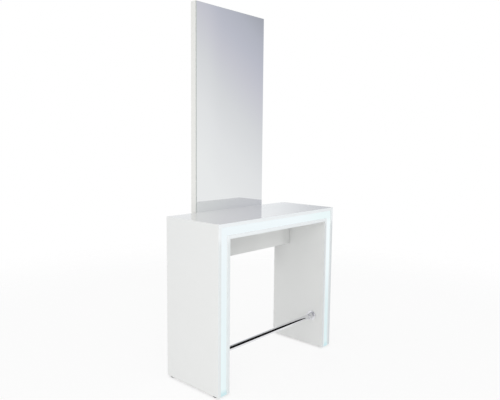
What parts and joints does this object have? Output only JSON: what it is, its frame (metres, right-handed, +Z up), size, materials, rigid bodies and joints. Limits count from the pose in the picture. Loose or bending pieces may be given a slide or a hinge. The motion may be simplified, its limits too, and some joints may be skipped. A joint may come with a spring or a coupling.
{
  "type": "salon styling station",
  "caption": "Floor-standing white gloss styling station: portal table with a light band round its front, tall frameless mirror panel at the back, chrome footrest and screw feet.",
  "frame": {"origin": "on the floor, under the middle of the station's box", "axes": "+Z up, +X to the right seen from the front, -Y towards the person being styled, +Y towards the wall"},
  "size_m": [1, 0.445, 2.059],
  "materials": {
    "white_lacquer": "white high-gloss lacquer on fibreboard",
    "cream_lacquer": "warm white satin lacquer on fibreboard",
    "core_timber": "sawn softwood, unfinished",
    "channel_aluminium": "mill finish extrusion",
    "led_circuit": "white flexible circuit strip",
    "opal_diffuser": "opal acrylic, lit cool white from behind",
    "silvered_glass": "back-silvered float glass with ground edges",
    "chrome": "polished chrome plate",
    "zinc_steel": "bright zinc plate",
    "insert_brass": "turned brass",
    "black_nylon": "moulded black nylon",
    "grey_plastic": "fine-textured grey moulding",
    "white_cable": "matt white sheath"
  },
  "bodies": {
    "station": {"left_outer_board": "white_lacquer", "right_outer_board": "white_lacquer", "worktop_board": "white_lacquer", "left_inner_board": "white_lacquer", "right_inner_board": "white_lacquer", "underside_board": "white_lacquer", "left_front_batten": "core_timber", "right_front_batten": "core_timber", "left_rear_batten": "white_lacquer", "right_rear_batten": "white_lacquer", "top_front_batten": "core_timber", "top_rear_batten": "white_lacquer", "left_sole_block": "core_timber", "right_sole_block": "core_timber", "left_diffuser": "opal_diffuser", "right_diffuser": "opal_diffuser", "top_diffuser": "opal_diffuser", "left_light_channel": "channel_aluminium", "right_light_channel": "channel_aluminium", "top_light_channel": "channel_aluminium", "left_led_strip": "led_circuit", "right_led_strip": "led_circuit", "top_led_strip": "led_circuit", "apron_rail": "white_lacquer", "left_cheek": "white_lacquer", "right_cheek": "white_lacquer", "mirror_panel": "cream_lacquer", "mirror_glass": "silvered_glass", "upper_left_panel_bolt": "zinc_steel", "lower_left_panel_bolt": "zinc_steel", "upper_right_panel_bolt": "zinc_steel", "lower_right_panel_bolt": "zinc_steel", "left_hanger_plate": "zinc_steel", "right_hanger_plate": "zinc_steel", "footrest_tube": "chrome", "left_footrest_socket": "chrome", "right_footrest_socket": "chrome", "left_socket_screw_lower": "chrome", "left_socket_screw_upper": "chrome", "right_socket_screw_lower": "chrome", "right_socket_screw_upper": "chrome", "foot_insert_front_left": "insert_brass", "foot_insert_rear_left": "insert_brass", "foot_insert_front_right": "insert_brass", "foot_insert_rear_right": "insert_brass", "supply_box": "grey_plastic", "supply_cover": "grey_plastic", "led_driver": "grey_plastic", "cable_gland": "black_nylon", "switch_bezel": "black_nylon", "led_lead": "white_cable"},
    "stud_front_left": {"foot_stud_front_left": "zinc_steel"},
    "pad_front_left": {"foot_pad_front_left": "black_nylon"},
    "stud_rear_left": {"foot_stud_rear_left": "zinc_steel"},
    "pad_rear_left": {"foot_pad_rear_left": "black_nylon"},
    "stud_front_right": {"foot_stud_front_right": "zinc_steel"},
    "pad_front_right": {"foot_pad_front_right": "black_nylon"},
    "stud_rear_right": {"foot_stud_rear_right": "zinc_steel"},
    "pad_rear_right": {"foot_pad_rear_right": "black_nylon"},
    "rocker": {"switch_rocker": "black_nylon"}
  },
  "joints": [
    {"name": "front_left_foot_travel", "type": "slide", "parent": "station", "child": "stud_front_left", "axis": [0, 0, -1], "range_m": [0, 0.01]},
    {"name": "front_left_foot_turn", "type": "hinge", "parent": "stud_front_left", "child": "pad_front_left", "pos_m": [-0.472, -0.1875, 0], "axis": [0, 0, -1], "range_deg": [0, 2880]},
    {"name": "rear_left_foot_travel", "type": "slide", "parent": "station", "child": "stud_rear_left", "axis": [0, 0, -1], "range_m": [0, 0.01]},
    {"name": "rear_left_foot_turn", "type": "hinge", "parent": "stud_rear_left", "child": "pad_rear_left", "pos_m": [-0.472, 0.1475, 0], "axis": [0, 0, -1], "range_deg": [0, 2880]},
    {"name": "front_right_foot_travel", "type": "slide", "parent": "station", "child": "stud_front_right", "axis": [0, 0, -1], "range_m": [0, 0.01]},
    {"name": "front_right_foot_turn", "type": "hinge", "parent": "stud_front_right", "child": "pad_front_right", "pos_m": [0.472, -0.1875, 0], "axis": [0, 0, -1], "range_deg": [0, 2880]},
    {"name": "rear_right_foot_travel", "type": "slide", "parent": "station", "child": "stud_rear_right", "axis": [0, 0, -1], "range_m": [0, 0.01]},
    {"name": "rear_right_foot_turn", "type": "hinge", "parent": "stud_rear_right", "child": "pad_rear_right", "pos_m": [0.472, 0.1475, 0], "axis": [0, 0, -1], "range_deg": [0, 2880]},
    {"name": "light_switch_tip", "type": "hinge", "parent": "station", "child": "rocker", "pos_m": [0.06, 0.124, 0.7615], "axis": [-1, 0, 0], "range_deg": [0, 20]}
  ],
  "couplings": [
    {"joint": "front_left_foot_travel", "follows": "front_left_foot_turn", "m_per_rad": 0.00019894},
    {"joint": "rear_left_foot_travel", "follows": "rear_left_foot_turn", "m_per_rad": 0.00019894},
    {"joint": "front_right_foot_travel", "follows": "front_right_foot_turn", "m_per_rad": 0.00019894},
    {"joint": "rear_right_foot_travel", "follows": "rear_right_foot_turn", "m_per_rad": 0.00019894}
  ]
}
